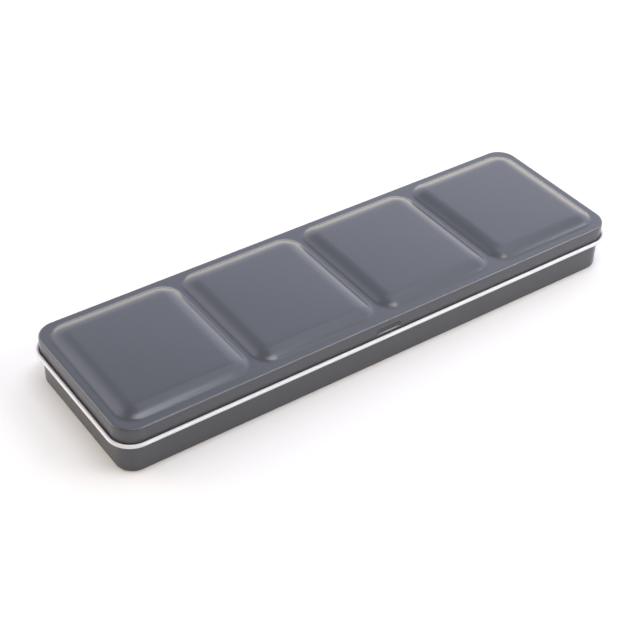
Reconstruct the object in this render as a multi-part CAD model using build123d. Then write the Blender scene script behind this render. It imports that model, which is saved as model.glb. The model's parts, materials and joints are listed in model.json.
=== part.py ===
from build123d import *
from math import atan, cos, degrees, radians, sin, tan
import os

# A slim pressed-tin watercolour box, in millimetres. X runs along its length, the front is
# towards -Y, the hinge is along the rear edge, and Z = 0 is the table that it lies on.

# Lid shell, outside sizes. The rim is the flat strip round the wells.
lid_length = 215.0
lid_width = 64.0
lid_corner_radius = 7.7
lid_rim_height = 19.6
lid_shoulder_radius = 0.8
lid_sheet = 0.5

# Outward curl along the lid's lower edge, which is also the line of the hinge.
curl_radius = 0.7
curl_stand_out = 1.6
curl_height = 13.2
curl_foot = 0.5

# Four mixing wells, pressed up in the lid. Their sides are steepest close to the toe.
well_count = 4
well_rise = 2.3
well_slope_run = 7.4
well_slope_straight = 0.5
well_toe_radius = 2.7
well_crown_corner = 0.6
well_groove = 1.2
well_margin = 2.8

# Base tray, with its rim folded inwards.
base_gap = 0.35
base_height = 16.5
base_sheet = 0.5
base_bottom_radius = 0.8
base_inner_radius = 0.55
base_hem = 0.4
base_hem_height = 1.2

# Snap dent in the middle of the lid's front wall, and the channel behind it in the base.
dent_mouth = 12.0
dent_floor = 8.0
dent_depth = 0.7
dent_bottom = 14.2
dent_top = 17.0
dent_clearance = 0.3

# Two hinges: a leaf on the base whose knuckle turns on a wire pin held in the lid's curl.
hinge_places = {"left": -60.0, "right": 60.0}
hinge_width = 14.0
hinge_side_gap = 0.3
hinge_edge_gap = 0.9
pin_radius = 0.3
pin_clearance = 0.05
pin_hold = 5.0
leaf_sheet = 0.4
leaf_height = 6.4
leaf_corner = 2.0

# Lift-out rack for the pans, with a brush channel along its middle.
rack_gap = 0.25
rack_sheet = 0.4
rack_flange = 5.0
channel_wall = 5.4
tab_width = 4.0
tab_height = 3.0
tab_gap = 0.2

# Full pans and the cakes of paint in them.
pan_columns = 6
pan_length = 30.0
pan_width = 19.0
pan_height = 10.0
pan_wall = 1.0
pan_floor = 1.2
pan_draft = 4.0
pan_corner = 1.5
pan_inner_corner = 1.0
pan_side_gap = 0.2
cake_below_rim = 1.3
cake_gap = 0.05

# Sprung strips that press the pans against the rack's flanges, in the gap beside the channel.
strip_gap = 1.8
strip_sheet = 0.25
strip_height = 4.2
finger_width = 10.0
finger_tip_height = 1.6
finger_gap = 0.1

# How far from its height an edge may lie and still count as level with the rim.
level_tolerance = 0.01

# Worked-out sizes
lid_half_width = lid_width / 2
base_inset = lid_sheet + base_gap
base_length = lid_length - 2 * base_inset
base_width = lid_width - 2 * base_inset
base_corner_radius = lid_corner_radius - base_inset
base_inner_length = base_length - 2 * base_sheet
base_inner_width = base_width - 2 * base_sheet
base_inner_corner = base_corner_radius - base_sheet
curl_offset = curl_stand_out - curl_radius
hinge_y = lid_half_width + curl_offset
rack_width = base_inner_width - 2 * (base_hem + rack_gap)
rack_floor_top = base_sheet + rack_sheet
pan_pitch = pan_length + rack_sheet + 2 * tab_gap
rack_length = pan_columns * pan_pitch + 3 * rack_sheet
pan_row_y = rack_width / 2 - rack_sheet - pan_side_gap - pan_width / 2
channel_half = pan_row_y - pan_width / 2 - strip_gap - rack_sheet
rows = {"front": -1, "rear": 1}


def rounded_block(length, width, radius, bottom, top):
    """Upright block with rounded corners in plan, centred on the origin."""
    return Pos(0, 0, bottom) * extrude(RectangleRounded(length, width, radius), top - bottom)


def box_between(low, high):
    """Box given by its lowest and its highest corner."""
    size = [high[i] - low[i] for i in range(3)]
    middle = [(high[i] + low[i]) / 2 for i in range(3)]
    return Pos(*middle) * Box(*size)


def rod(radius, length, x):
    """Round rod along the hinge axis, with its middle at x."""
    return Pos(x, hinge_y, curl_height) * Rot(0, 90, 0) * Cylinder(radius, length)


def well_pad(rim):
    """Raised pad of one well on the level rim: a tapered block with a rounded crown edge.

    Its side is a small hollow arc at the toe, a short straight and a wide arc at the crown,
    so the slope's angle and the wide arc follow from its rise and its run. Returns the pad
    and the wells' pitch."""
    turn = atan(well_rise / (well_slope_run + well_slope_straight))
    both_radii = (well_slope_run - well_slope_straight * cos(2 * turn)) / sin(2 * turn)
    crown_radius = both_radii - well_toe_radius
    toe = well_toe_radius * tan(turn)
    crown = crown_radius * tan(turn)
    slope = well_rise / tan(2 * turn)
    length = (lid_length - 2 * well_margin - (well_count - 1) * well_groove) / well_count
    width = lid_width - 2 * well_margin
    outline = RectangleRounded(length - 2 * toe, width - 2 * toe, well_crown_corner + crown + slope)
    pad = extrude(outline, well_rise, taper=90 - degrees(2 * turn))
    pad = fillet(pad.edges().group_by(Axis.Z)[-1], crown_radius)
    return Pos(0, 0, rim) * pad, length + well_groove


def rim_edges(form, rim, inset, of_outline):
    """Edges on the level rim: those of the lid's outline, or else those round the wells."""
    reach_x = lid_length / 2 - inset - well_margin / 2
    reach_y = lid_half_width - inset - well_margin / 2
    level = form.edges().filter_by_position(Axis.Z, rim - level_tolerance, rim + level_tolerance)
    return level.filter_by(
        lambda edge: (abs((edge @ 0).X) > reach_x or abs((edge @ 0).Y) > reach_y) == of_outline)


def lid_form(inset, bottom, shoulder):
    """Solid form of the lid with its wells, moved inwards and down by the inset."""
    rim = lid_rim_height - inset
    length = lid_length - 2 * inset
    form = rounded_block(length, lid_width - 2 * inset, lid_corner_radius - inset, bottom, rim)
    pad, pitch = well_pad(rim)
    for column in range(well_count):
        form += Pos((column - (well_count - 1) / 2) * pitch, 0, 0) * pad
    form = fillet(rim_edges(form, rim, inset, False), well_toe_radius)
    return fillet(rim_edges(form, rim, inset, True), shoulder)


def curled_edge():
    """Foot and curl of the lid's lower edge, carried round the lid's outline."""
    inner = lid_half_width - lid_sheet
    low = curl_height - curl_radius
    with BuildSketch(Plane.YZ) as section:
        with BuildLine():
            foot = Line((inner, low + curl_foot), (inner, low))
            Line(foot @ 1, (hinge_y, low))
            curl = CenterArc((hinge_y, curl_height), curl_radius, -90, 270)
            drop = Line(curl @ 1, (hinge_y - curl_radius, low + curl_foot))
            Line(drop @ 1, foot @ 0)
        make_face()
    outline = RectangleRounded(lid_length, lid_width, lid_corner_radius).wire()
    return sweep(section.sketch, path=outline)


def dent(outset, low, high):
    """Prism of the snap dent on the front wall, grown by outset on its floor and its ends."""
    front = -lid_half_width
    floor = front + dent_depth + outset
    mouth_half = dent_mouth / 2 + outset
    floor_half = dent_floor / 2 + outset
    corners = [(-mouth_half, front), (mouth_half, front), (floor_half, floor), (-floor_half, floor)]
    outline = Polyline(*corners, close=True)
    return Pos(0, 0, low) * extrude(make_face(outline), high - low)


def lid():
    """Lid: shell with wells, curled edge, snap dent, hinge notches and holes for the pins."""
    low = curl_height - curl_radius
    shell = lid_form(0, low, lid_shoulder_radius)
    shell -= lid_form(lid_sheet, low, lid_shoulder_radius - lid_sheet)
    shell += curled_edge()
    shell += dent(lid_sheet, dent_bottom - lid_sheet, dent_top + lid_sheet)
    shell -= dent(0, dent_bottom, dent_top)
    for x in hinge_places.values():
        half = hinge_width / 2 + hinge_side_gap
        shell -= box_between((x - half, hinge_y - 2 * curl_stand_out, low - curl_radius),
                             (x + half, hinge_y + 2 * curl_radius, curl_height + hinge_edge_gap))
        shell -= rod(pin_radius, hinge_width + 2 * (hinge_side_gap + pin_hold), x)
    return shell


def base_tray():
    """Base: open tray with rounded bottom edges, a folded rim and the channel for the dent."""
    body = rounded_block(base_length, base_width, base_corner_radius, 0, base_height)
    body = fillet(body.edges().group_by(Axis.Z)[0], base_bottom_radius)
    hem_bottom = base_height - base_hem_height
    room = rounded_block(base_inner_length, base_inner_width, base_inner_corner, base_sheet, hem_bottom)
    room = fillet(room.edges().group_by(Axis.Z)[0], base_inner_radius)
    mouth = rounded_block(base_inner_length - 2 * base_hem, base_inner_width - 2 * base_hem,
                          base_inner_corner - base_hem, hem_bottom, base_height)
    tray = body - room - mouth
    channel = lid_sheet + dent_clearance
    wall = dent(channel + base_sheet + base_hem, dent_bottom - channel - base_sheet, base_height)
    tray += wall & body
    return tray - dent(channel, dent_bottom - channel, base_height)


def hinge_leaf(x):
    """Leaf of one hinge: plate on the base's rear wall, web and bored knuckle."""
    wall = base_width / 2
    low = curl_height - curl_radius
    left = x - hinge_width / 2
    right = x + hinge_width / 2
    top = low + leaf_sheet
    plate = box_between((left, wall, top - leaf_height), (right, wall + leaf_sheet, top))
    lower = plate.edges().filter_by(Axis.Y).group_by(Axis.Z)[0]
    plate = fillet(lower, leaf_corner)
    web = box_between((left, wall, low), (right, hinge_y, top))
    knuckle = rod(curl_radius, hinge_width, x)
    return plate + web + knuckle - rod(pin_radius + pin_clearance, 2 * hinge_width, x)


def hinge_pin(x):
    """Wire pin of one hinge."""
    return rod(pin_radius, hinge_width + 2 * (hinge_side_gap + pin_hold), x)


def pan_rack():
    """Rack: floor with upright flanges round it, two channel walls and the tabs between pans."""
    half_length = rack_length / 2
    half_width = rack_width / 2
    top = rack_floor_top + rack_flange
    rack = box_between((-half_length, -half_width, base_sheet), (half_length, half_width, top))
    rack -= box_between((rack_sheet - half_length, rack_sheet - half_width, rack_floor_top),
                        (half_length - rack_sheet, half_width - rack_sheet, top))
    for side in rows.values():
        inner = side * channel_half
        outer = side * (channel_half + rack_sheet)
        rack += box_between((rack_sheet - half_length, min(inner, outer), base_sheet),
                            (half_length - rack_sheet, max(inner, outer), rack_floor_top + channel_wall))
        for gap in range(1, pan_columns):
            x = (gap - pan_columns / 2) * pan_pitch
            y = side * pan_row_y
            rack += box_between((x - rack_sheet / 2, y - tab_width / 2, base_sheet),
                                (x + rack_sheet / 2, y + tab_width / 2, rack_floor_top + tab_height))
    return rack


def tapered_cup(length, width, radius, bottom, top):
    """Block that narrows downwards by the pan's draft, given by its outline at the top."""
    outline = Pos(0, 0, top) * RectangleRounded(length, width, radius)
    return extrude(outline, top - bottom, dir=(0, 0, -1), taper=pan_draft)


def pan_place(column, side):
    """Place of one pan on the rack's floor."""
    return Pos((column - (pan_columns - 1) / 2) * pan_pitch, side * pan_row_y, rack_floor_top)


def pan_hollow(gap, top):
    """Inside of a pan up to a height, kept clear of its walls by a gap."""
    wall = pan_wall + gap + (pan_height - top) * tan(radians(pan_draft))
    return tapered_cup(pan_length - 2 * wall, pan_width - 2 * wall, pan_inner_corner, pan_floor, top)


def pan():
    """Open moulded pan with drafted walls."""
    return tapered_cup(pan_length, pan_width, pan_corner, 0, pan_height) - pan_hollow(0, pan_height)


def cake():
    """Cake of paint that fills a pan to just below its rim."""
    return pan_hollow(cake_gap, pan_height - cake_below_rim)


def spring_strip(side):
    """Strip along one channel wall, with a bent finger that leans towards each pan."""
    inner = channel_half + rack_sheet
    outer = inner + strip_sheet
    top = rack_floor_top + strip_height
    half_length = rack_length / 2 - rack_sheet - tab_gap
    strip = box_between((-half_length, inner, rack_floor_top), (half_length, outer, top))
    tip_height = rack_floor_top + finger_tip_height
    lean = (pan_height - finger_tip_height) * tan(radians(pan_draft))
    tip = pan_row_y - pan_width / 2 + lean - finger_gap
    outline = Polyline((inner, top), (outer, top), (tip, tip_height), (tip - strip_sheet, tip_height),
                       (inner, top - strip_sheet), close=True)
    finger = extrude(Plane.YZ * make_face(outline), finger_width / 2, both=True)
    for column in range(pan_columns):
        strip += Pos((column - (pan_columns - 1) / 2) * pan_pitch, 0, 0) * finger
    return strip if side > 0 else mirror(strip, Plane.XZ)


def all_parts():
    """Every piece of the box by name."""
    parts = {"base_tray": base_tray(), "lid": lid(), "pan_rack": pan_rack()}
    for name, x in hinge_places.items():
        parts[f"hinge_leaf_{name}"] = hinge_leaf(x)
        parts[f"hinge_pin_{name}"] = hinge_pin(x)
    for name, side in rows.items():
        parts[f"spring_strip_{name}"] = spring_strip(side)
        for column in range(pan_columns):
            place = pan_place(column, side)
            parts[f"pan_{name}_{column + 1}"] = place * pan()
            parts[f"cake_{name}_{column + 1}"] = place * cake()
    return parts


os.makedirs("parts", exist_ok=True)
for node, shape in all_parts().items():
    export_step(shape, f"parts/{node}.step")
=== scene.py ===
import json
import logging
import math
from dataclasses import dataclass, field
from enum import Enum
from typing import Callable, Sequence

import bpy
import numpy as np
from mathutils import Matrix, Vector


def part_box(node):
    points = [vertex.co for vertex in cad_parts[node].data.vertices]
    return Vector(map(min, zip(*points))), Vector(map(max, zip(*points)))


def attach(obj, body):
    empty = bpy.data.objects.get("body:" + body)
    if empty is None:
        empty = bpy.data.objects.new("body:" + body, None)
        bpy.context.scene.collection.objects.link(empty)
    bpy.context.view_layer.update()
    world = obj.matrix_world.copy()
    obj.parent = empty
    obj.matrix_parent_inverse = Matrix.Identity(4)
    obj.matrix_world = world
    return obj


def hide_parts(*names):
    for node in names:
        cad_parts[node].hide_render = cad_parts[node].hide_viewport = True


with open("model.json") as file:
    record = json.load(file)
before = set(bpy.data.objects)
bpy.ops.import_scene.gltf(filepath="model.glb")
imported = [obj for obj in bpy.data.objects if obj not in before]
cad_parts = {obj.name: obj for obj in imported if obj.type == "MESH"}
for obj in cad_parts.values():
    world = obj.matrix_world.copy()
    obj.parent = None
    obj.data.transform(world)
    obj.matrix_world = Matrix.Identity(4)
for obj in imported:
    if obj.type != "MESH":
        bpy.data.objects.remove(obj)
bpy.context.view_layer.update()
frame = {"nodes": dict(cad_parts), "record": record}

MM = 0.001
OF_COLOURS = {"data_type": "RGBA"}
Colour = tuple[float, float, float, float]
Triple = tuple[float, float, float]
Pair = tuple[float, float]
Surface = Callable[[np.ndarray, np.ndarray], np.ndarray]
Shift = Callable[[np.ndarray, np.ndarray, np.ndarray], np.ndarray]
log = logging.getLogger("paint_tin")


# Colour and nodes

def linear(hex_colour: str) -> Colour:
    """Turns an sRGB hex colour into Blender's linear colour.

    Args:
        hex_colour: Colour as "#RRGGBB".

    Returns:
        Linear red, green, blue and an alpha of 1.
    """
    channels = [int(hex_colour[i:i + 2], 16) / 255 for i in (1, 3, 5)]
    low = [c / 12.92 for c in channels]
    high = [((c + 0.055) / 1.055) ** 2.4 for c in channels]
    mixed = [a if c <= 0.04045 else b for a, b, c in zip(low, high, channels)]
    return mixed[0], mixed[1], mixed[2], 1.0


def add_node(tree: bpy.types.NodeTree, kind: str, inputs: dict | None = None, **settings) -> bpy.types.Node:
    """Adds one node with its settings, its socket values and the links into it.

    Args:
        tree: Node tree that gets the node.
        kind: Blender's type name of the node.
        inputs: Socket name or number to a value, to an output that is linked to it, or to a
            node whose first output in use is linked to it.
        settings: Properties of the node itself.

    Returns:
        The new node.
    """
    made = tree.nodes.new(kind)
    for name, value in settings.items():
        setattr(made, name, value)
    for key, value in (inputs or {}).items():
        if isinstance(value, bpy.types.Node):
            value = next(output for output in value.outputs if output.enabled)
        if isinstance(value, bpy.types.NodeSocket):
            tree.links.new(value, made.inputs[key])
        else:
            made.inputs[key].default_value = value
    return made


def span(end: str, low: float, high: float) -> dict[str, float]:
    """Names both values of a map range's "From" or "To" sockets."""
    return {f"{end} Min": low, f"{end} Max": high}


def blank_material(name: str) -> tuple[bpy.types.Material, bpy.types.NodeTree]:
    """Makes a material whose node tree is empty.

    Args:
        name: The material's name.

    Returns:
        The material and its node tree.
    """
    material = bpy.data.materials.new(name)
    material.use_nodes = True
    material.node_tree.nodes.clear()
    return material, material.node_tree


def pattern_scale(size_mm: float) -> float:
    """Gives the scale at which a noise on Object coordinates in metres repeats every size_mm."""
    return 1 / (size_mm * MM)


# Finishes

@dataclass(frozen=True)
class BakedEnamel:
    """Roller-coated enamel, baked on tinplate: an even colour under a smooth skin.

    The coat levels out in the oven, so it shows soft reflections, a faint orange peel and
    hardly any change of colour.
    """

    name: str
    colour: str
    shade: str
    roughness: float
    gloss_drift: float = 0.02
    ior: float = 1.56
    peel_mm: float = 1.1
    peel_depth_mm: float = 0.0022
    mottle_mm: float = 26.0

    def material(self) -> bpy.types.Material:
        """Builds the enamel.

        Returns:
            The material.
        """
        material, tree = blank_material(self.name)
        place = add_node(tree, "ShaderNodeTexCoord").outputs["Object"]
        mottle = add_node(tree, "ShaderNodeTexNoise",
                          {"Vector": place, "Scale": pattern_scale(self.mottle_mm), "Detail": 3.0})
        colour = add_node(tree, "ShaderNodeMix",
                          {"Factor": mottle, 6: linear(self.shade), 7: linear(self.colour)}, **OF_COLOURS)
        gloss = span("To", self.roughness - self.gloss_drift, self.roughness + self.gloss_drift)
        rough = add_node(tree, "ShaderNodeMapRange", {"Value": mottle, **gloss})
        peel = add_node(tree, "ShaderNodeTexNoise",
                        {"Vector": place, "Scale": pattern_scale(self.peel_mm), "Detail": 1.0})
        bump = add_node(tree, "ShaderNodeBump", {"Height": peel, "Distance": self.peel_depth_mm * MM})
        shader = add_node(tree, "ShaderNodeBsdfPrincipled",
                          {"Base Color": colour, "Roughness": rough, "Normal": bump, "IOR": self.ior})
        add_node(tree, "ShaderNodeOutputMaterial", {"Surface": shader})
        return material


@dataclass(frozen=True)
class MouldedPlastic:
    """Injection-moulded polystyrene: white, with a soft gloss from the polished mould.

    The flow of the melt leaves faint waves, and the white drifts a little along them.
    """

    name: str = "Moulded polystyrene, white"
    colour: str = "#EEEEEA"
    shade: str = "#E6E6E1"
    roughness: float = 0.32
    ior: float = 1.49
    flow_mm: float = 7.0
    flow_depth_mm: float = 0.006

    def material(self) -> bpy.types.Material:
        """Builds the plastic.

        Returns:
            The material.
        """
        material, tree = blank_material(self.name)
        place = add_node(tree, "ShaderNodeTexCoord").outputs["Object"]
        flow = add_node(tree, "ShaderNodeTexNoise",
                        {"Vector": place, "Scale": pattern_scale(self.flow_mm), "Detail": 2.0})
        colour = add_node(tree, "ShaderNodeMix",
                          {"Factor": flow, 6: linear(self.shade), 7: linear(self.colour)}, **OF_COLOURS)
        bump = add_node(tree, "ShaderNodeBump", {"Height": flow, "Distance": self.flow_depth_mm * MM})
        shader = add_node(tree, "ShaderNodeBsdfPrincipled",
                          {"Base Color": colour, "Roughness": self.roughness, "Normal": bump, "IOR": self.ior})
        add_node(tree, "ShaderNodeOutputMaterial", {"Surface": shader})
        return material


@dataclass(frozen=True)
class RolledSteel:
    """Bare spring steel or drawn wire: bright metal with fine lines along X from rolling.

    The real lines are finer than a render shows, so they are drawn 0.35 mm wide.
    """

    name: str
    colour: str = "#B9BABC"
    shade: str = "#9A9B9E"
    roughness: float = 0.3
    line_mm: float = 0.35
    line_stretch: float = 0.03

    def material(self) -> bpy.types.Material:
        """Builds the steel.

        Returns:
            The material.
        """
        material, tree = blank_material(self.name)
        place = add_node(tree, "ShaderNodeTexCoord").outputs["Object"]
        drawn = add_node(tree, "ShaderNodeMapping", {"Vector": place, "Scale": (self.line_stretch, 1.0, 1.0)})
        lines = add_node(tree, "ShaderNodeTexNoise",
                         {"Vector": drawn, "Scale": pattern_scale(self.line_mm), "Detail": 2.0})
        colour = add_node(tree, "ShaderNodeMix",
                          {"Factor": lines, 6: linear(self.shade), 7: linear(self.colour)}, **OF_COLOURS)
        shader = add_node(tree, "ShaderNodeBsdfPrincipled",
                          {"Base Color": colour, "Metallic": 1.0, "Roughness": self.roughness})
        add_node(tree, "ShaderNodeOutputMaterial", {"Surface": shader})
        return material


class Pigment(Enum):
    """Colours of the dried cakes, as they look dry in the pan, which is darker than on paper."""

    LEMON_YELLOW = "#E3C51C"
    GOLDEN_YELLOW = "#DE9B10"
    ORANGE = "#D2601A"
    SCARLET = "#B5291C"
    CRIMSON = "#7E1428"
    VIOLET = "#3F1C4A"
    DEEP_BLUE = "#1B2559"
    SKY_BLUE = "#17517F"
    SEA_GREEN = "#135047"
    SAP_GREEN = "#43511A"
    OCHRE = "#A0722C"
    BURNT_BROWN = "#4E2A1A"


@dataclass(frozen=True)
class DriedPaint:
    """Watercolour poured in a pan and dried: gum arabic leaves a low sheen over grains of pigment.

    The gum dries unevenly, so colour and gloss pool over a few millimetres. The real grains
    are finer than a render shows, so they are drawn 0.35 mm wide.
    """

    pigment: Pigment
    ior: float = 1.48
    deep_share: float = 0.62
    pool_mm: float = 5.0
    pool_band: Pair = (0.35, 0.65)
    sheen_band: Pair = (0.3, 0.6)
    grain_mm: float = 0.35
    grain_depth_mm: float = 0.02

    def material(self) -> bpy.types.Material:
        """Builds the paint.

        Returns:
            The material.
        """
        material, tree = blank_material(f"Dried watercolour, {self.pigment.name.lower().replace('_', ' ')}")
        colour = linear(self.pigment.value)
        deep = tuple(c * self.deep_share for c in colour[:3]) + (1.0,)
        place = add_node(tree, "ShaderNodeTexCoord").outputs["Object"]
        pools = add_node(tree, "ShaderNodeTexNoise",
                         {"Vector": place, "Scale": pattern_scale(self.pool_mm), "Detail": 4.0})
        grain = add_node(tree, "ShaderNodeTexNoise",
                         {"Vector": place, "Scale": pattern_scale(self.grain_mm), "Detail": 2.0})
        spread = add_node(tree, "ShaderNodeMapRange", {"Value": pools, **span("From", *self.pool_band)})
        mixed = add_node(tree, "ShaderNodeMix", {"Factor": spread, 6: deep, 7: colour}, **OF_COLOURS)
        sheen = add_node(tree, "ShaderNodeMapRange", {"Value": pools, **span("To", *self.sheen_band)})
        bump = add_node(tree, "ShaderNodeBump", {"Height": grain, "Distance": self.grain_depth_mm * MM})
        shader = add_node(tree, "ShaderNodeBsdfPrincipled",
                          {"Base Color": mixed, "Roughness": sheen, "Normal": bump, "IOR": self.ior})
        add_node(tree, "ShaderNodeOutputMaterial", {"Surface": shader})
        return material


@dataclass(frozen=True)
class StudioPaper:
    """Matt white paper under the tin: white to the camera, and it keeps the tin's soft shadow.

    Further off, where such a paper would rise to a backdrop, the camera and reflections see
    it brighter. That lights nothing. The reaches are distances from the tin in metres, and
    the bands the strengths at their two ends.
    """

    colour: str = "#FBFAF7"
    glow_colour: str = "#FFF3DC"
    glow_reach: Pair = (0.12, 0.4)
    glow_band: Pair = (0.0, 1.1)
    lift_colour: str = "#FFFFFF"
    lift_reach: Pair = (0.12, 1.6)
    lift_band: Pair = (0.1, 0.4)

    def material(self) -> bpy.types.Material:
        """Builds the paper.

        Returns:
            The material.
        """
        material, tree = blank_material("White studio paper")
        shader = add_node(tree, "ShaderNodeBsdfDiffuse", {"Color": linear(self.colour)})
        rays = add_node(tree, "ShaderNodeLightPath").outputs
        place = add_node(tree, "ShaderNodeTexCoord").outputs["Object"]
        away = add_node(tree, "ShaderNodeVectorMath", {0: place}, operation="LENGTH")
        glows = (("Is Glossy Ray", self.glow_colour, self.glow_reach, self.glow_band),
                 ("Is Camera Ray", self.lift_colour, self.lift_reach, self.lift_band))
        for ray, colour, reach, band in glows:
            rise = add_node(tree, "ShaderNodeMapRange",
                            {"Value": away, **span("From", *reach), **span("To", *band)})
            seen = add_node(tree, "ShaderNodeMath", {0: rays[ray], 1: rise}, operation="MULTIPLY")
            glow = add_node(tree, "ShaderNodeEmission", {"Color": linear(colour), "Strength": seen})
            shader = add_node(tree, "ShaderNodeAddShader", {0: shader, 1: glow})
        add_node(tree, "ShaderNodeOutputMaterial", {"Surface": shader})
        return material


# Shapes

def stations(breaks: Sequence[float], counts: Sequence[int]) -> np.ndarray:
    """Divides the stretches between break points evenly, each into its own number of steps.

    Args:
        breaks: Places where the spacing may change, in order.
        counts: Number of steps in each stretch.

    Returns:
        All the stations, both ends included.
    """
    parts = [np.linspace(a, b, n, endpoint=False) for a, b, n in zip(breaks, breaks[1:], counts)]
    return np.concatenate([*parts, [breaks[-1]]])


def arc(centre: Pair, radius: float, start: float, end: float, steps: int) -> np.ndarray:
    """Points on a circle's arc: centre plus radius times the cosine and sine of the angle.

    Args:
        centre: Offset and height of the centre.
        radius: Radius of the arc.
        start: First angle in degrees, from the outward direction towards up.
        end: Last angle in degrees.
        steps: Number of steps.

    Returns:
        Array of offsets and heights, both ends included.
    """
    angle = np.radians(np.linspace(start, end, steps + 1))
    return np.stack([centre[0] + radius * np.cos(angle), centre[1] + radius * np.sin(angle)], axis=1)


def upright(offset: float, heights: np.ndarray) -> np.ndarray:
    """Points of a section one over another: the same offset at each height."""
    return np.stack([np.full(len(heights), offset), heights], axis=1)


def smooth_step(value: np.ndarray, low: float, high: float) -> np.ndarray:
    """Rises from 0 at low to 1 at high as 3t squared minus 2t cubed, flat beyond both."""
    t = np.clip((value - low) / (high - low), 0, 1)
    return t * t * (3 - 2 * t)


def level(height: float) -> Surface:
    """Gives a flat surface at a height."""
    return lambda x, y: np.full_like(x, height)


def no_shift(x: np.ndarray, y: np.ndarray, z: np.ndarray) -> np.ndarray:
    """Leaves a wall where it is."""
    return np.zeros_like(x)


@dataclass(frozen=True)
class NodeSpace:
    """Space that a node takes at rest, in millimetres."""

    half_length: float
    half_width: float
    centre: Pair
    bottom: float
    top: float

    @classmethod
    def between(cls, low: Vector, high: Vector) -> "NodeSpace":
        """Measures the space between a box's two corners.

        Args:
            low: Its lowest corner, in metres.
            high: Its highest corner.

        Returns:
            The space.
        """
        half, centre = (high - low) / 2 / MM, (high + low) / 2 / MM
        return cls(half.x, half.y, (centre.x, centre.y), low.z / MM, high.z / MM)


@dataclass(frozen=True)
class RoundedOutline:
    """Rectangle with round corners in plan, centred on the origin, in millimetres."""

    half_length: float
    half_width: float
    radius: float

    def grown(self, distance: float) -> "RoundedOutline":
        """Gives the outline at a distance outwards from this one."""
        return RoundedOutline(self.half_length + distance, self.half_width + distance, self.radius + distance)

    def flat(self) -> float:
        """Gives half the width of the straight part of the ends."""
        return self.half_width - self.radius

    def depth(self, x: np.ndarray, y: np.ndarray) -> np.ndarray:
        """Measures how far points lie inside the outline.

        Past the corners' centres the distance is taken from those centres, elsewhere from
        the nearest side.

        Args:
            x: Places along the length.
            y: Places across the width.

        Returns:
            Distance to the outline, negative outside it.
        """
        past_x = np.abs(x) - self.half_length + self.radius
        past_y = np.abs(y) - self.half_width + self.radius
        corner = np.hypot(np.maximum(past_x, 0), np.maximum(past_y, 0))
        return self.radius - corner - np.minimum(np.maximum(past_x, past_y), 0)


@dataclass(frozen=True)
class PlanGrid:
    """Grid that fills a rounded outline. Its rows run along X, and it ends on the outline.

    In the corners a row's half length is the outline's, less the radius times one minus the
    cosine of the row's angle, and only the stations past the squeeze point move.
    """

    outline: RoundedOutline
    columns: np.ndarray
    rows: np.ndarray
    arc_steps: int
    squeeze: float

    def row_angles(self) -> np.ndarray:
        """Gives each row's angle on the corner arcs: from -90 degrees over 0 to 90 degrees."""
        rise = np.linspace(0, math.pi / 2, self.arc_steps + 1)[1:]
        return np.concatenate([-rise[::-1], np.zeros(len(self.rows)), rise])

    def points(self) -> tuple[np.ndarray, np.ndarray]:
        """Works out the grid's places.

        Returns:
            X and Y of the points, rows by columns.
        """
        angle = self.row_angles()
        shape = self.outline
        ends = shape.flat() + shape.radius * np.sin(np.abs(angle))
        y = np.sign(angle) * ends
        y[angle == 0] = self.rows
        reach = shape.half_length - shape.radius * (1 - np.cos(angle))
        fixed = shape.half_length - shape.radius - self.squeeze
        past = np.maximum(np.abs(self.columns) - fixed, 0)
        inner = np.minimum(np.abs(self.columns), fixed)
        ratio = (reach - fixed) / (shape.half_length - fixed)
        x = np.sign(self.columns) * (inner + past * ratio[:, None])
        return x, np.broadcast_to(y[:, None], x.shape)

    def ring(self) -> tuple[np.ndarray, np.ndarray]:
        """Lists the grid's edge, counter-clockwise from above, from its front left corner.

        Returns:
            Point numbers, and the unit vectors that point outwards there.
        """
        angle = self.row_angles()
        height, width = len(angle), len(self.columns)
        number = np.arange(height * width).reshape(height, width)
        side = np.stack([np.cos(angle), np.sin(angle)], axis=1)
        mirrored = side * [-1, 1]
        front = np.tile([0.0, -1.0], (width, 1))
        numbers = [number[0], number[1:, -1], number[-1, -2::-1], number[-2:0:-1, 0]]
        normals = [front, side[1:], -front[1:], mirrored[-2:0:-1]]
        return np.concatenate(numbers), np.concatenate(normals)


@dataclass(frozen=True)
class Notch:
    """Gap cut in the rear wall: between two places along X, some rows of the section are left out."""

    low: float
    high: float
    first_row: int
    last_row: int


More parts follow.
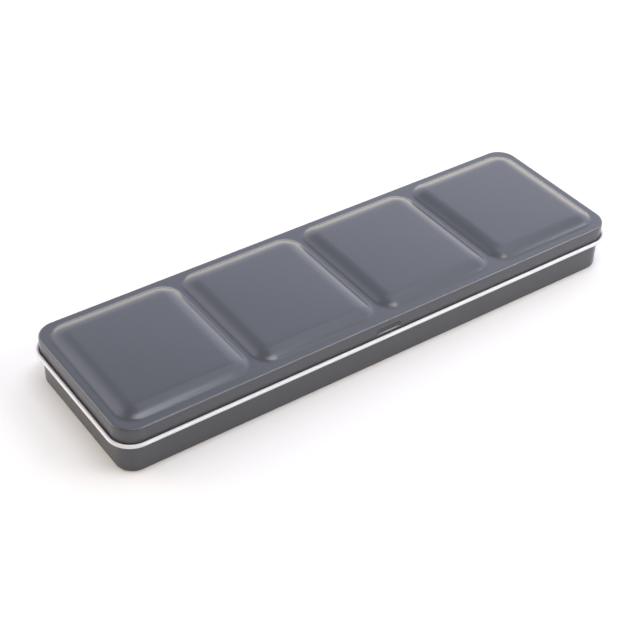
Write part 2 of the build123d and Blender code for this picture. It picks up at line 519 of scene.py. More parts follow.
@dataclass
class SheetForm:
    """Closed shell of pressed sheet: an upper grid, a section round the outline and a lower grid.

    The section is a line of offsets and heights. It starts on the upper grid's edge, goes
    round every edge of the sheet and ends on the lower grid's edge.
    """

    grid: PlanGrid
    section: np.ndarray
    strip_finish: Sequence[int]
    upper: Surface
    lower: Surface
    shift: Shift = no_shift
    notches: Sequence[Notch] = ()
    upper_finish: int = 0
    lower_finish: int = 0

    def build(self, name: str, materials: Sequence[bpy.types.Material], centre: Pair = (0, 0)
              ) -> bpy.types.Object:
        """Builds the mesh.

        A section point lies at the ring point plus the outward unit vector times its offset,
        and then moves along Y by what shift gives.

        Args:
            name: Name of the piece.
            materials: Materials that the finish numbers pick from.
            centre: Place of the shell's centre in plan, in millimetres.

        Returns:
            The new object.
        """
        x, y = self.grid.points()
        ring, normals = self.grid.ring()
        top = np.stack([x, y, self.upper(x, y)], axis=-1).reshape(-1, 3)
        under = np.stack([x, y, self.lower(x, y)], axis=-1).reshape(-1, 3)
        plan = top[ring, :2] + self.section[1:-1, None, :1] * normals
        heights = np.broadcast_to(self.section[1:-1, None, 1], plan.shape[:2])
        wall = np.concatenate([plan, heights[..., None]], axis=-1)
        wall[..., 1] += self.shift(wall[..., 0], wall[..., 1], wall[..., 2])
        count = len(top)
        between = 2 * count + np.arange(wall.shape[0] * wall.shape[1]).reshape(wall.shape[:2])
        table = np.concatenate([ring[None], between, ring[None] + count])
        vertices = np.concatenate([top, under, wall.reshape(-1, 3)])

        number = np.arange(count).reshape(x.shape)
        upper_faces = np.stack([number[:-1, :-1], number[:-1, 1:], number[1:, 1:], number[1:, :-1]], axis=-1)
        upper_faces = upper_faces.reshape(-1, 4)
        after = np.roll(table, -1, axis=1)
        strips = np.stack([table[:-1], table[1:], after[1:], after[:-1]], axis=-1)
        finish = np.repeat(np.asarray(self.strip_finish)[:, None], table.shape[1], axis=1)
        kept = np.ones(strips.shape[:2], bool)
        extra, flat = self.notch_faces(vertices, table, after, kept)

        lower_faces = upper_faces[:, ::-1] + count
        faces = [*upper_faces.tolist(), *lower_faces.tolist(), *strips[kept].tolist(), *extra]
        finishes = np.concatenate([np.full(len(upper_faces), self.upper_finish),
                                   np.full(len(upper_faces), self.lower_finish),
                                   finish[kept], np.full(len(extra), self.lower_finish)])
        offset = np.array([centre[0], centre[1], 0])
        return new_piece(name, (vertices + offset) * MM, faces, finishes, materials, flat)

    def notch_faces(self, vertices: np.ndarray, table: np.ndarray, after: np.ndarray, kept: np.ndarray
                    ) -> tuple[list[list[int]], int]:
        """Closes the notches: a strip along each notch's upper edge and a cap at each of its ends.

        Args:
            vertices: All vertices, in millimetres.
            table: Vertex numbers, section rows by ring places.
            after: The same table, one ring place on.
            kept: Which strips stay. The strips inside a notch are cleared here.

        Returns:
            The closing faces, and how many of them, counted from the end, are flat caps.
        """
        bridges, caps = [], []
        slack = 1e-6
        for notch in self.notches:
            place = vertices[table[notch.first_row]]
            beside = vertices[after[notch.first_row]]
            rear = (place[:, 1] > 0) & (beside[:, 1] > 0)
            inside = rear & (place[:, 0] <= notch.high + slack) & (beside[:, 0] >= notch.low - slack)
            where = np.flatnonzero(inside)
            kept[notch.first_row:notch.last_row, where] = False
            first, last = table[notch.first_row], table[notch.last_row]
            ahead, behind = after[notch.first_row], after[notch.last_row]
            bridges += np.stack([first[where], last[where], behind[where], ahead[where]], axis=1).tolist()
            rows = slice(notch.first_row, notch.last_row + 1)
            caps.append(table[rows, where[0]].tolist())
            caps.append(after[rows, where[-1]][::-1].tolist())
        return bridges + caps, len(caps)


def new_piece(name: str, vertices: np.ndarray, faces: list[list[int]], finishes: np.ndarray,
              materials: Sequence[bpy.types.Material], flat_faces: int = 0) -> bpy.types.Object:
    """Makes a mesh object at the origin, without the vertices that no face uses.

    Args:
        name: Name of the piece.
        vertices: Places in metres.
        faces: Vertex numbers of each face.
        finishes: Material number of each face.
        materials: The materials.
        flat_faces: How many of the last faces are shaded flat.

    Returns:
        The new object.
    """
    used = np.unique(np.concatenate([np.asarray(face) for face in faces]))
    renumber = np.zeros(len(vertices), int)
    renumber[used] = np.arange(len(used))
    mesh = bpy.data.meshes.new(name)
    mesh.from_pydata(vertices[used].tolist(), [], [renumber[face].tolist() for face in faces])
    smooth = np.ones(len(faces), bool)
    smooth[len(faces) - flat_faces:] = False
    mesh.polygons.foreach_set("use_smooth", smooth)
    mesh.polygons.foreach_set("material_index", np.asarray(finishes, dtype=np.int32))
    for material in materials:
        mesh.materials.append(material)
    mesh.update()
    piece = bpy.data.objects.new(name, mesh)
    bpy.context.scene.collection.objects.link(piece)
    return piece


def settle(piece: bpy.types.Object, body: str, slot: str, *nodes: str) -> None:
    """Says which body a piece moves with, hides the nodes it stands for, and reports it.

    Args:
        piece: The finished piece.
        body: Name of the body it rides on.
        slot: Name of its material slot. Not used.
        nodes: Nodes that it replaces.
    """
    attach(piece, body)
    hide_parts(*nodes)
    log.info("%s: %d faces on %s", piece.name, len(piece.data.polygons), body)


def dress(node: str, material: bpy.types.Material) -> None:
    """Gives a node that keeps its shape a better material.

    Args:
        node: Name of the node.
        material: Its material.
    """
    mesh = frame["nodes"][node].data
    mesh.materials.clear()
    mesh.materials.append(material)
    log.info("%s: dressed in %s", node, material.name)


class Side(Enum):
    """Side of the sheet that a face shows, which picks its enamel."""

    OUTSIDE = 0
    INSIDE = 1


# The tin

@dataclass(frozen=True)
class Wells:
    """Mixing wells pressed up in the lid: soft pads in a row with narrow grooves between them."""

    count: int = 4
    side_rise: float = 1.95
    dome_rise: float = 0.35
    run: float = 7.4
    straight: float = 0.5
    toe_radius: float = 2.2
    toe_corner: float = 8.0
    groove: float = 1.2
    margin: float = 2.8

    def slope(self, depth: np.ndarray) -> np.ndarray:
        """Height of the side at a distance inside the toe line.

        The side is a small hollow arc, a short straight and a wide full arc, tangent to each
        other. Half its steepest angle has the tangent rise over run plus straight.

        Args:
            depth: Distance inside the toe line.

        Returns:
            Height above the rim.
        """
        angle = 2 * math.atan(self.side_rise / (self.run + self.straight))
        crown_radius = (self.run - self.straight * math.cos(angle)) / math.sin(angle) - self.toe_radius
        toe_end = self.toe_radius * math.sin(angle)
        crown_start = self.run - crown_radius * math.sin(angle)
        inward = np.clip(depth, 0, self.run)
        toe = self.toe_radius - np.sqrt(self.toe_radius ** 2 - np.minimum(inward, toe_end) ** 2)
        ramp = np.clip(inward - toe_end, 0, crown_start - toe_end) * math.tan(angle)
        left = np.minimum(self.run - inward, self.run - crown_start)
        crown = crown_radius * (1 - math.cos(angle)) - crown_radius + np.sqrt(crown_radius ** 2 - left ** 2)
        return toe + ramp + crown

    def pitch(self, half_length: float) -> float:
        """Distance from one well to the next."""
        return (2 * (half_length - self.margin) + self.groove) / self.count

    def height(self, x: np.ndarray, y: np.ndarray, half_length: float, half_width: float) -> np.ndarray:
        """Height of the lid's top above its rim.

        Each well is its side taken at the depth inside its rounded toe line, times one plus a
        shallow dome that falls off with the square of the place along and across.

        Args:
            x: Places along the length.
            y: Places across the width.
            half_length: Half the lid's length.
            half_width: Half the lid's width.

        Returns:
            Heights in millimetres.
        """
        pitch = self.pitch(half_length)
        middle = (np.round(x / pitch - 0.5) + 0.5) * pitch
        last = (self.count - 1) / 2 * pitch
        local = x - np.clip(middle, -last, last)
        toe = RoundedOutline((pitch - self.groove) / 2, half_width - self.margin, self.toe_corner)
        side = self.slope(toe.depth(local, y))
        dome = (1 - (local / toe.half_length) ** 2) * (1 - (y / toe.half_width) ** 2)
        return side * (1 + self.dome_rise / self.side_rise * np.clip(dome, 0, 1))


@dataclass(frozen=True)
class SnapDent:
    """Dent in the middle of the lid's front wall, with sloped ends and a sharper lower edge."""

    mouth: float = 12.0
    floor: float = 8.0
    depth: float = 0.65
    low: float = 14.2
    high: float = 17.2
    lower_edge: float = 0.4
    upper_edge: float = 1.4

    def shift(self, x: np.ndarray, y: np.ndarray, z: np.ndarray) -> np.ndarray:
        """Moves the front wall inwards: the depth times a smooth step along X and two along Z.

        Args:
            x: Places along the length.
            y: Places across the width.
            z: Heights.

        Returns:
            Shift along Y.
        """
        along = 1 - smooth_step(np.abs(x), self.floor / 2, self.mouth / 2)
        up = smooth_step(z, self.low, self.low + self.lower_edge)
        down = 1 - smooth_step(z, self.high - self.upper_edge, self.high)
        return np.where(y < 0, self.depth * along * up * down, 0)


@dataclass
class Lid:
    """Lid of the tin: grey outside, white inside, with an outward curl that shows the white.

    The outer rows are heights of the wall below the notches' edge, the inner rows those above
    the foot, the trough is where the wall turns into the curl, and the foot is its flat under
    side. The curl angles are where its grey starts, where its white starts and its end. The grey
    arc on the curl's inner side is partly the outside coat at the curl's tip and partly painted
    shade of the narrow gap between the curl and the wall.
    The wall steps divide the outer wall above the dent and along it.
    """

    outside: bpy.types.Material
    inside: bpy.types.Material
    wells: Wells = field(default_factory=Wells)
    dent: SnapDent = field(default_factory=SnapDent)
    corner: float = 7.7
    rim_height: float = 19.6
    shoulder: float = 0.8
    sheet: float = 0.5
    curl_radius: float = 0.7
    curl_stand_out: float = 1.6
    curl_height: float = 13.2
    curl_angles: Triple = (192.0, 150.0, -90.0)
    outer_rows: Triple = (13.7, 13.35, 13.12)
    inner_rows: Pair = (13.3, 13.7)
    trough: tuple[Pair, ...] = ((0.03, 13.02), (0.1, 12.97), (0.17, 13.01))
    foot: Triple = (0.55, 0.15, -0.2)
    foot_radius: float = 0.3
    hinge_x: float = 60.0
    hinge_half: float = 7.3
    hinge_edge: float = 14.1
    slope_steps: int = 16
    flat_steps: int = 12
    margin_steps: int = 6
    groove_steps: int = 3
    arc_steps: int = 20
    shoulder_steps: int = 6
    wall_steps: tuple[int, int] = (4, 12)
    curl_steps: int = 26
    bend_steps: int = 4
    squeeze: float = 8.0

    def half_sizes(self) -> Pair:
        """Half the wall's length and width, from the node's space less the curl's stand-out."""
        space = NodeSpace.between(*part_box("lid"))
        return space.half_length - self.curl_stand_out, space.half_width - self.curl_stand_out

    def columns(self, half_length: float) -> np.ndarray:
        """Stations along the lid: close on the slopes and in the grooves, wide on the flats.

        Args:
            half_length: Half the lid's length.

        Returns:
            Stations from end to end of the upper grid, with the hinge notches' edges among them.
        """
        wells = self.wells
        edge = half_length - self.shoulder
        breaks, counts = [-edge], []
        pitch = wells.pitch(half_length)
        for index in range(wells.count):
            start = -half_length + wells.margin + index * pitch
            end = start + pitch - wells.groove
            breaks += [start, start + wells.run, end - wells.run, end]
            lead = self.margin_steps if index == 0 else self.groove_steps
            counts += [lead, self.slope_steps, self.flat_steps, self.slope_steps]
        found = stations([*breaks, edge], [*counts, self.margin_steps])
        for side in (-1, 1):
            for end in (-self.hinge_half, self.hinge_half):
                place = side * self.hinge_x + end
                found[np.argmin(np.abs(found - place))] = place
        return found

    def section(self) -> tuple[np.ndarray, np.ndarray, int, int]:
        """Line round the sheet: shoulder, outer wall, trough, curl, foot, inner wall.

        Returns:
            Offsets and heights, the side that each strip shows, and the rows of the outer
            and the inner wall where the hinge notches end.
        """
        curl_centre = (self.curl_stand_out - self.curl_radius, self.curl_height)
        low = self.curl_height - self.curl_radius
        dark, white, end = self.curl_angles
        wall_top = self.rim_height - self.shoulder
        upper = stations([wall_top, self.dent.high, self.dent.low], self.wall_steps)[1:]
        inner_z = np.concatenate([self.inner_rows, [self.hinge_edge], upper[::-1][:-1]])

        shoulder = arc((-self.shoulder, wall_top), self.shoulder, 90, 0, self.shoulder_steps)
        wall = upright(0.0, np.concatenate([upper, [self.hinge_edge], self.outer_rows]))
        # Grey arc on the curl's inner side: partly the outside coat at the curl's tip, partly painted shade of
        # the gap between curl and wall.
        coat_and_shade = arc(curl_centre, self.curl_radius, dark, white, self.bend_steps)
        curl = arc(curl_centre, self.curl_radius, white, end, self.curl_steps)[1:]
        foot = np.array([[offset, low] for offset in self.foot])
        turn_centre = (-self.sheet + self.foot_radius, low + self.foot_radius)
        turn = arc(turn_centre, self.foot_radius, 270, 180, self.bend_steps)[1:]
        inner = upright(-self.sheet, inner_z)
        bend = arc((-self.shoulder, wall_top), self.shoulder - self.sheet, 0, 90, self.bend_steps)
        line = np.concatenate([shoulder, wall, self.trough, coat_and_shade, curl, foot, turn, inner, bend])

        # The grey strips run over that arc, so its painted shade takes the outside enamel.
        grey = len(shoulder) + len(wall) + len(self.trough) + len(coat_and_shade) - 1
        sides = np.full(len(line) - 1, Side.INSIDE.value)
        sides[:grey] = Side.OUTSIDE.value
        first = len(shoulder) + len(upper)
        last = len(line) - len(bend) - len(inner) + len(self.inner_rows)
        return line, sides, first, last

    def build(self) -> bpy.types.Object:
        """Builds the lid's shell and dresses it.

        Returns:
            The shell.
        """
        half_length, half_width = self.half_sizes()
        outline = RoundedOutline(half_length, half_width, self.corner).grown(-self.shoulder)
        flat = outline.flat()
        crown = half_width - self.wells.margin - self.wells.run
        rows = stations([-flat, -crown, crown, flat],
                        [self.margin_steps, self.slope_steps, self.margin_steps])
        grid = PlanGrid(outline, self.columns(half_length), rows, self.arc_steps, self.squeeze)
        line, sides, first, last = self.section()
        line[:, 0] += self.shoulder

        def top(x: np.ndarray, y: np.ndarray) -> np.ndarray:
            """Height of the outer skin: the rim and the wells on it."""
            return self.rim_height + self.wells.height(x, y, half_length, half_width)

        def ceiling(x: np.ndarray, y: np.ndarray) -> np.ndarray:
            """Height of the inner skin: the outer skin less the sheet."""
            return top(x, y) - self.sheet

        half = self.hinge_half
        notches = [Notch(middle - half, middle + half, first, last) for middle in (-self.hinge_x, self.hinge_x)]
        form = SheetForm(grid, line, sides, top, ceiling, self.dent.shift, notches,
                         Side.OUTSIDE.value, Side.INSIDE.value)
        piece = form.build("lid_shell", (self.outside, self.inside))
        settle(piece, "lid", "grey_enamel", "lid")
        return piece


@dataclass
class Base:
    """Base tray: grey outside, white inside, with its rim folded inwards and a channel for the dent.

    The inner and the outer feet are where the walls' lowest rows lie. Each half of the inner
    and of the outer wall has its number of rows.
    """

    outside: bpy.types.Material
    inside: bpy.types.Material
    corner: float = 6.85
    sheet: float = 0.5
    hem: float = 0.4
    hem_height: float = 1.2
    lip_radius: float = 0.12
    bottom_radius: float = 0.8
    inner_foot: float = 1.5
    outer_foot: float = 1.6
    channel_mouth: float = 13.6
    channel_floor: float = 9.6
    channel_depth: float = 0.65
    channel_low: float = 13.4
    below_channel: float = 12.0
    above_channel: float = 13.6
    rim_drop: float = 0.8
    dent_half: float = 8.0
    column_steps: tuple[int, int, int] = (28, 32, 28)
    row_steps: int = 12
    arc_steps: int = 12
    wall_rows: tuple[int, int] = (7, 8)
    lip_steps: int = 3
    rim_steps: int = 12
    bend_steps: int = 4
    bottom_steps: int = 6
    squeeze: float = 6.0

    def shift(self, x: np.ndarray, y: np.ndarray, z: np.ndarray) -> np.ndarray:
        """Moves the front wall inwards in the channel: the depth times a smooth step along X and Z.

        Args:
            x: Places along the length.
            y: Places across the width.
            z: Heights.

        Returns:
            Shift along Y.
        """
        along = 1 - smooth_step(np.abs(x), self.channel_floor / 2, self.channel_mouth / 2)
        up = smooth_step(z, self.channel_low, self.channel_low + self.channel_depth)
        return np.where(y < 0, self.channel_depth * along * up, 0)

    def section(self, height: float) -> tuple[np.ndarray, np.ndarray]:
        """Line round the sheet: inner wall, folded rim, outer wall, bottom edge.

        Args:
            height: Height of the rim.

        Returns:
            Offsets and heights, and the side that each strip shows.
        """
        inner_radius = self.bottom_radius - self.sheet
        hem_end = height - self.hem_height
        fold = self.sheet + self.hem
        inside, outside = self.wall_rows
        inner_z = np.concatenate([np.linspace(self.inner_foot, self.channel_low, inside),
                                  np.linspace(self.above_channel, hem_end, inside)])
        outer_z = np.concatenate([np.linspace(height - self.rim_drop, self.channel_low, outside),
                                  np.linspace(self.below_channel, self.outer_foot, outside)])

        corner = arc((-self.bottom_radius, self.sheet + inner_radius), inner_radius, 270, 360, self.bend_steps)
        inner = upright(-self.sheet, inner_z)
        lip_centre = (-fold + self.lip_radius, hem_end + self.lip_radius)
        lip = arc(lip_centre, self.lip_radius, 270, 180, self.lip_steps)
        rim = arc((-fold / 2, height - fold / 2), fold / 2, 180, 0, self.rim_steps)
        outer = upright(0.0, outer_z)
        bottom = arc((-self.bottom_radius, self.bottom_radius), self.bottom_radius, 0, -90, self.bottom_steps)
        line = np.concatenate([corner, inner, lip, rim, outer, bottom])
        sides = np.full(len(line) - 1, Side.OUTSIDE.value)
        sides[:len(corner) + len(inner)] = Side.INSIDE.value
        return line, sides

    def build(self) -> bpy.types.Object:
        """Builds the base's shell and dresses it.

        Returns:
            The shell.
        """
        space = NodeSpace.between(*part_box("base_tray"))
        outline = RoundedOutline(space.half_length, space.half_width, self.corner).grown(-self.bottom_radius)
        end, flat = outline.half_length, outline.flat()
        columns = stations([-end, -self.dent_half, self.dent_half, end], self.column_steps)
        rows = stations([-flat, flat], [self.row_steps])
        grid = PlanGrid(outline, columns, rows, self.arc_steps, self.squeeze)
        line, sides = self.section(space.top)
        line[:, 0] += self.bottom_radius
        form = SheetForm(grid, line, sides, level(self.sheet), level(0.0), self.shift, (),
                         Side.INSIDE.value, Side.OUTSIDE.value)
        piece = form.build("base_shell", (self.outside, self.inside))
        settle(piece, "base", "grey_enamel", "base_tray")
        return piece


@dataclass
class Hinges:
    """Two hinges on the rear edge: enamelled leaves on the base, wire pins in the lid's curl."""

    enamel: bpy.types.Material
    wire: bpy.types.Material

    def dress(self) -> None:
        """Gives the leaves their enamel and the pins their wire."""
        for side in ("left", "right"):
            dress(f"hinge_leaf_{side}", self.enamel)
            dress(f"hinge_pin_{side}", self.wire)


class Row(Enum):
    """Row of the rack that a pan stands in."""

    FRONT = "front"
    REAR = "rear"


@dataclass
class PaintPan:
    """Moulded pan with drafted walls, rounded rim and a cake of dried paint in it.

    The grid of the pan's floor is inset from the rim's outline, and the cake's top from its
    own. The cake's edge climbs the walls as a meniscus. Each wave on it is a height and two
    sines, given by their radians per millimetre along, per millimetre across and per pan.
    """

    row: Row
    column: int
    plastic: bpy.types.Material
    paint: bpy.types.Material
    paint_slot: str
    draft: float = 4.0
    wall: float = 1.0
    floor: float = 1.2
    floor_radius: float = 0.6
    bottom_radius: float = 0.5
    rim_relief: float = 0.05
    rim_inset: float = 0.03
    inset: float = 2.4
    grid_corner: float = 0.5
    grid_steps: tuple[int, int] = (26, 16)
    cake_inset: float = 1.0
    cake_corner: float = 0.4
    cake_steps: tuple[int, int] = (40, 24)
    cake_edge: Pair = (0.05, 0.3)
    meniscus: float = 0.5
    meniscus_steps: int = 8
    dish: float = 0.55
    waves: tuple[tuple[float, Triple, Triple], ...] = (
        (0.16, (0.31, 0.0, 1.7), (0.0, 0.43, 0.9)),
        (0.07, (0.83, -0.37, 2.3), (0.29, 0.71, 1.0)),
    )
    rear_number: int = 7
    bend_steps: int = 4
    rim_steps: int = 10
    squeeze: float = 1.0

    def grid(self, half_length: float, half_width: float, corner: float, steps: tuple[int, int]) -> PlanGrid:
        """Makes an even grid.

        Args:
            half_length: Half its length.
            half_width: Half its width.
            corner: Radius of its corners.
            steps: Steps along and across.

        Returns:
            The grid.
        """
        outline = RoundedOutline(half_length, half_width, corner)
        flat = outline.flat()
        columns = stations([-outline.half_length, outline.half_length], [steps[0]])
        return PlanGrid(outline, columns, stations([-flat, flat], [steps[1]]), self.bend_steps, self.squeeze)

    def build_pan(self) -> bpy.types.Object:
        """Builds the pan: floor, drafted inner wall, round rim, drafted outer wall, bottom.

        Returns:
            The pan.
        """
        node = f"pan_{self.row.value}_{self.column}"
        space = NodeSpace.between(*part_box(node))
        base, top = space.bottom, space.top
        ledge = base + self.floor
        lean = math.tan(math.radians(self.draft))
        rim = self.wall / 2 - self.rim_relief
        rim_centre = (self.inset - self.wall / 2 - self.rim_inset, top - rim)
        inner_low = self.inset - self.wall - (top - ledge - self.floor_radius) * lean
        outer_low = self.inset - (top - base - self.bottom_radius) * lean
        inner_centre = (inner_low - self.floor_radius, ledge + self.floor_radius)
        outer_centre = (outer_low - self.bottom_radius, base + self.bottom_radius)
        line = np.concatenate([
            [[0.0, ledge]],
            arc(inner_centre, self.floor_radius, 270, 360, self.bend_steps),
            arc(rim_centre, rim, 180, 0, self.rim_steps),
            arc(outer_centre, self.bottom_radius, 0, -90, self.bend_steps),
            [[0.0, base]],
        ])
        grid = self.grid(space.half_length - self.inset, space.half_width - self.inset,
                         self.grid_corner, self.grid_steps)
        form = SheetForm(grid, line, [0] * (len(line) - 1), level(ledge), level(base))
        piece = form.build(f"{node}_moulding", (self.plastic,), space.centre)
        settle(piece, "base", "pan_plastic", node)
        return piece

    def cake_top(self, x: np.ndarray, y: np.ndarray, half_length: float, half_width: float) -> np.ndarray:
        """Height of the dried surface against its level.

        It is a shallow dish, as one minus the fourth powers of the place along and across,
        with slow waves: products of two sines whose phases come from the pan's own number.

        Args:
            x: Places along the pan.
            y: Places across the pan.
            half_length: Half the cake's length.
            half_width: Half the cake's width.

        Returns:
            Heights in millimetres.
        """
        number = self.column + (self.rear_number if self.row is Row.REAR else 0)
        dish = (1 - (x / half_length) ** 4) * (1 - (y / half_width) ** 4)
        rise = sum(height * (np.sin(a * x + b * y + c * number) * np.sin(d * x + e * y + f * number))
                   for height, (a, b, c), (d, e, f) in self.waves)
        return dish * (rise - self.dish)

    def build_cake(self) -> bpy.types.Object:
        """Builds the cake: dished top, edge drawn up the walls, sides down to the pan's floor.

        The edge climbs by the meniscus times the cube of the way to the wall.

        Returns:
            The cake.
        """
        node = f"cake_{self.row.value}_{self.column}"
        space = NodeSpace.between(*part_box(node))
        base, surface = space.bottom, space.top
        half_length, half_width = space.half_length - self.cake_inset, space.half_width - self.cake_inset
        way = np.linspace(0, 1, self.meniscus_steps + 1)
        edge = np.stack([self.cake_inset * way, surface + self.meniscus * (way ** 3)], axis=1)
        foot = self.cake_inset - (surface - base) * math.tan(math.radians(self.draft))
        back, drop = self.cake_edge
        side = [[self.cake_inset - back, surface - drop], [foot, base], [0.0, base]]
        line = np.concatenate([edge, side])

        def top(x: np.ndarray, y: np.ndarray) -> np.ndarray:
            """Height of the dried surface."""
            return surface + self.cake_top(x, y, half_length, half_width)

        grid = self.grid(half_length, half_width, self.cake_corner, self.cake_steps)
        form = SheetForm(grid, line, [0] * (len(line) - 1), top, level(base))
        piece = form.build(f"{node}_paint", (self.paint,), space.centre)
        settle(piece, "base", self.paint_slot, node)
        return piece


@dataclass
class Rack:
    """Lift-out rack with its sprung strips and its two rows of pans."""

    enamel: bpy.types.Material
    spring: bpy.types.Material
    plastic: bpy.types.Material
    pans_in_row: int = 6

    def dress(self) -> None:
        """Gives the rack its enamel and the strips their steel."""
        dress("pan_rack", self.enamel)
        for row in Row:
            dress(f"spring_strip_{row.value}", self.spring)

    def fill(self) -> None:
        """Builds the pans and their cakes, each in the paint that its node's slot names."""
        slots = {part["node"]: part["material_slot"] for part in frame["record"]["subparts"]}
        for row in Row:
            for column in range(1, self.pans_in_row + 1):
                slot = slots[f"cake_{row.value}_{column}"]
                paint = DriedPaint(Pigment[slot.removeprefix("paint_").upper()]).material()
                pan = PaintPan(row, column, self.plastic, paint, slot)
                pan.build_pan()
                pan.build_cake()


# The studio

def placed(right: np.ndarray, up: np.ndarray, back: np.ndarray, place: np.ndarray) -> Matrix:
    """Gives the matrix of an object with these three axes at a place.

    Args:
        right: Its X axis.
        up: Its Y axis.
        back: Its Z axis, away from where a camera or lamp looks.
        place: Its origin, in metres.

    Returns:
        The matrix.
    """
    matrix = np.eye(4)
    matrix[:3] = np.stack([right, up, back, place], axis=1)
    return Matrix(matrix.tolist())


@dataclass(frozen=True)
class Softbox:
    """Rectangular soft lamp: where it hangs, the point it faces and its sides in metres, its watts.

    One that is gleam_only shows in the gloss and lights nothing.
    """

    name: str
    place: Triple
    aim: Triple
    size: Pair
    power: float
    colour: str
    gleam_only: bool = False
    overhead_share: float = 0.9

    def build(self) -> bpy.types.Object:
        """Hangs the lamp. One that faces nearly straight down has its width along X.

        Returns:
            The lamp.
        """
        data = bpy.data.lights.new(self.name, "AREA")
        data.shape = "RECTANGLE"
        data.size, data.size_y = self.size
        data.energy = self.power
        data.color = linear(self.colour)[:3]
        lamp = bpy.data.objects.new(self.name, data)
        back = np.array(self.place) - np.array(self.aim)
        back /= np.linalg.norm(back)
        side = np.cross([0, 1, 0] if abs(back[2]) > self.overhead_share else [0, 0, 1], back)
        side /= np.linalg.norm(side)
        lamp.matrix_world = placed(side, np.cross(back, side), back, np.array(self.place))
        lamp.visible_diffuse = not self.gleam_only
        bpy.context.scene.collection.objects.link(lamp)
        return lamp


LAMPS = (
    Softbox("overhead", (0.46, 0.16, 0.9), (0.46, 0.16, 0), (0.65, 0.7), 1.9, "#EDF1FF"),
    Softbox("hot_spot", (0.0, -0.15, 0.8), (0.0, -0.15, 0), (0.46, 0.16), 1.7, "#F4F6FF"),
    Softbox("front_strip", (0.28, -0.33, 0.4), (0.04, -0.03, 0), (0.36, 0.07), 0.8, "#FCFBFF"),
    Softbox("front_gleam", (0.28, -0.33, 0.4), (0.04, -0.03, 0), (0.7, 0.12), 3.4, "#FCFBFF", True),
    Softbox("left_fill", (-0.55, 0.42, 0.22), (-0.1, 0, 0), (0.4, 0.3), 0.75, "#FFE9CF"),
)


@dataclass(frozen=True)
class Surroundings:
    """What stands round the tin: bright low walls, a pale backdrop behind and a dimmer room above.

    A band gives the two values, of a part of the direction, between which the look changes:
    its height, its X, or how far it turns to the cool side.
    """

    sky: float = 1.2
    mirrored_sky: float = 1.5
    wall_band: Pair = (0.54, 0.8)
    reach_band: Pair = (-0.3, 0.05)
    left_reach: float = 0.2
    left_band: Pair = (-0.05, -0.3)
    left_gain: float = 0.45
    right_band: Pair = (0.3, 0.6)
    right_gain: float = 0.22
    cool_side: Triple = (0.6, 0.8, 0.0)
    cool_band: Pair = (-0.5, 0.5)
    front_band: Pair = (-0.8, 0.3)
    front_share: float = 0.2
    backdrop_band: Pair = (0.0, 0.35)
    backdrop_lift: float = 0.8
    warm_colour: str = "#FFEACB"
    cool_colour: str = "#E6ECFF"
    backdrop_colour: str = "#FFF3DC"
    room_colour: str = "#6C727F"
    camera_colour: str = "#FFFFFF"

    def build(self) -> bpy.types.World:
        """Builds the surroundings.

        The walls go from warm to cool round the tin, fade towards the front, and are brighter
        and reach higher on the left. Low on the cool side they turn into the backdrop. The
        camera sees plain white, and reflections see it all a little brighter.

        Returns:
            The world.
        """
        world = bpy.data.worlds.new("studio")
        world.use_nodes = True
        tree = world.node_tree
        tree.nodes.clear()
        direction = add_node(tree, "ShaderNodeTexCoord").outputs["Generated"]
        axes = add_node(tree, "ShaderNodeSeparateXYZ", {0: direction}).outputs
        leftward = add_node(tree, "ShaderNodeMapRange",
                            {"Value": axes["X"], **span("From", *self.reach_band),
                             **span("To", -self.left_reach, 0.0)})
        lowered = add_node(tree, "ShaderNodeMath", {0: axes["Z"], 1: leftward}, operation="ADD")
        turned = add_node(tree, "ShaderNodeVectorMath", {0: direction, 1: self.cool_side},
                          operation="DOT_PRODUCT")
        ramps = ((lowered, self.wall_band, (0.0, 1.0)),
                 (turned, self.cool_band, (0.0, 1.0)),
                 (turned, self.front_band, (self.front_share, 1.0)),
                 (axes["Z"], self.backdrop_band, (1.0, 0.0)),
                 (axes["X"], self.left_band, (0.0, self.left_gain)),
                 (axes["X"], self.right_band, (1.0, 1.0 + self.right_gain)))
        above, cool, share, low, left, right = (
            add_node(tree, "ShaderNodeMapRange", {"Value": value, **span("From", *band), **span("To", *ends)},
                     interpolation_type="SMOOTHSTEP")
            for value, band, ends in ramps)
        backdrop = add_node(tree, "ShaderNodeMath", {0: low, 1: cool}, operation="MULTIPLY")
        sides = add_node(tree, "ShaderNodeMath", {0: left, 1: right}, operation="ADD")
        lift = add_node(tree, "ShaderNodeMath", {0: backdrop, 1: self.backdrop_lift, 2: sides},
                        operation="MULTIPLY_ADD")
        bright = add_node(tree, "ShaderNodeMath", {0: lift, 1: share}, operation="MULTIPLY")
        tint = linear(self.warm_colour)
        for factor, colour in ((cool, self.cool_colour), (backdrop, self.backdrop_colour)):
            tint = add_node(tree, "ShaderNodeMix", {"Factor": factor, 6: tint, 7: linear(colour)}, **OF_COLOURS)
        seen = add_node(tree, "ShaderNodeVectorMath", {0: tint, "Scale": bright}, operation="SCALE")
        rays = add_node(tree, "ShaderNodeLightPath").outputs
        for factor, colour in ((above, self.room_colour), (rays["Is Camera Ray"], self.camera_colour)):
            seen = add_node(tree, "ShaderNodeMix", {"Factor": factor, 6: seen, 7: linear(colour)}, **OF_COLOURS)
        mirrored = add_node(tree, "ShaderNodeMapRange",
                            {"Value": rays["Is Glossy Ray"], **span("To", self.sky, self.mirrored_sky)})
        strength = add_node(tree, "ShaderNodeMapRange",
                            {"Value": rays["Is Camera Ray"], "To Min": mirrored, "To Max": 1.0})
        ground = add_node(tree, "ShaderNodeBackground", {"Color": seen, "Strength": strength})
        add_node(tree, "ShaderNodeOutputWorld", {"Surface": ground})
        return world


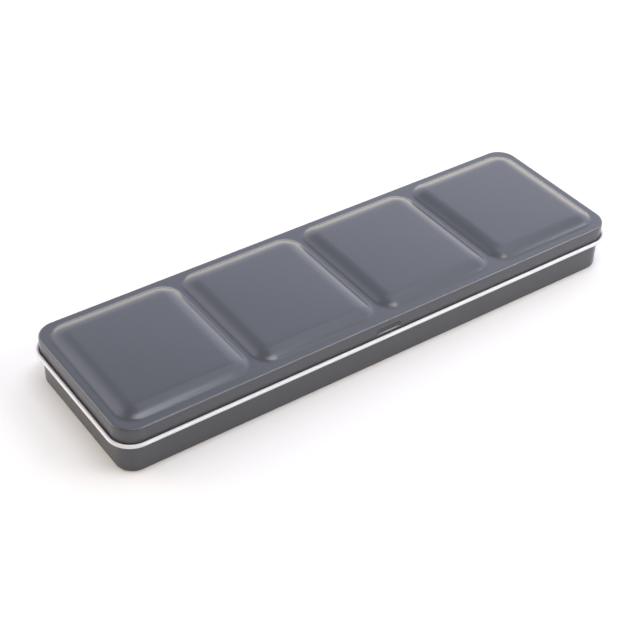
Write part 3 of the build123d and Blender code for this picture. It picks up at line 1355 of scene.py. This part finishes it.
@dataclass(frozen=True)
class Studio:
    """White paper, soft lamps, the surroundings and the camera at the photograph's angle."""

    azimuth: float = -36.574
    elevation: float = 39.274
    roll: float = 2.072
    place_mm: Triple = (-253.3025, -332.0315, 338.5907)
    focal_px: float = 1436.0
    image_px: float = 640.0
    sensor_mm: float = 36.0
    clip_start_m: float = 0.01
    paper_half_m: float = 4.0

    def camera(self) -> bpy.types.Object:
        """Places the camera where the photograph was taken from.

        Returns:
            The camera.
        """
        a, e, s = (math.radians(v) for v in (self.azimuth, self.elevation, self.roll))
        back = np.array([math.sin(a) * math.cos(e), -math.cos(a) * math.cos(e), math.sin(e)])
        side = np.cross([0, 0, 1], back)
        side /= np.linalg.norm(side)
        upward = np.cross(back, side)
        right = math.cos(s) * side + math.sin(s) * upward
        up = math.cos(s) * upward - math.sin(s) * side
        data = bpy.data.cameras.new("photo_camera")
        data.sensor_width = self.sensor_mm
        data.lens = self.focal_px / self.image_px * self.sensor_mm
        data.clip_start = self.clip_start_m
        camera = bpy.data.objects.new("photo_camera", data)
        camera.matrix_world = placed(right, up, back, np.array(self.place_mm) * MM)
        bpy.context.scene.collection.objects.link(camera)
        bpy.context.scene.camera = camera
        return camera

    def paper(self) -> bpy.types.Object:
        """Lays the paper under the tin.

        Returns:
            The sheet of paper.
        """
        half = self.paper_half_m
        corners = np.array([[-half, -half, 0], [half, -half, 0], [half, half, 0], [-half, half, 0]])
        sheet = new_piece("studio_paper", corners, [[0, 1, 2, 3]], np.zeros(1), (StudioPaper().material(),), 1)
        return sheet

    def build(self) -> None:
        """Sets up the camera, the surroundings, the lamps and the paper."""
        self.camera()
        bpy.context.scene.world = Surroundings().build()
        for lamp in LAMPS:
            lamp.build()
        self.paper()
        bpy.context.scene.view_settings.view_transform = "Standard"
        log.info("studio: camera at azimuth %.1f, elevation %.1f", self.azimuth, self.elevation)


def main() -> None:
    """Builds the tin's sub-assemblies in order, then the studio."""
    logging.basicConfig(level=logging.INFO, format="%(message)s")
    grey = BakedEnamel("Baked enamel on tinplate, grey satin", "#515359", "#4F5157", 0.25).material()
    white = BakedEnamel("Baked enamel on tinplate, white gloss", "#F4F3F5", "#F0EFF2", 0.2).material()
    plastic = MouldedPlastic().material()
    spring = RolledSteel("Spring steel strip, rolled").material()
    wire = RolledSteel("Steel wire, drawn", roughness=0.25).material()

    Lid(grey, white).build()
    Base(grey, white).build()
    Hinges(grey, wire).dress()
    rack = Rack(white, spring, plastic)
    rack.dress()
    rack.fill()
    Studio().build()


if __name__ == "__main__":
    main()
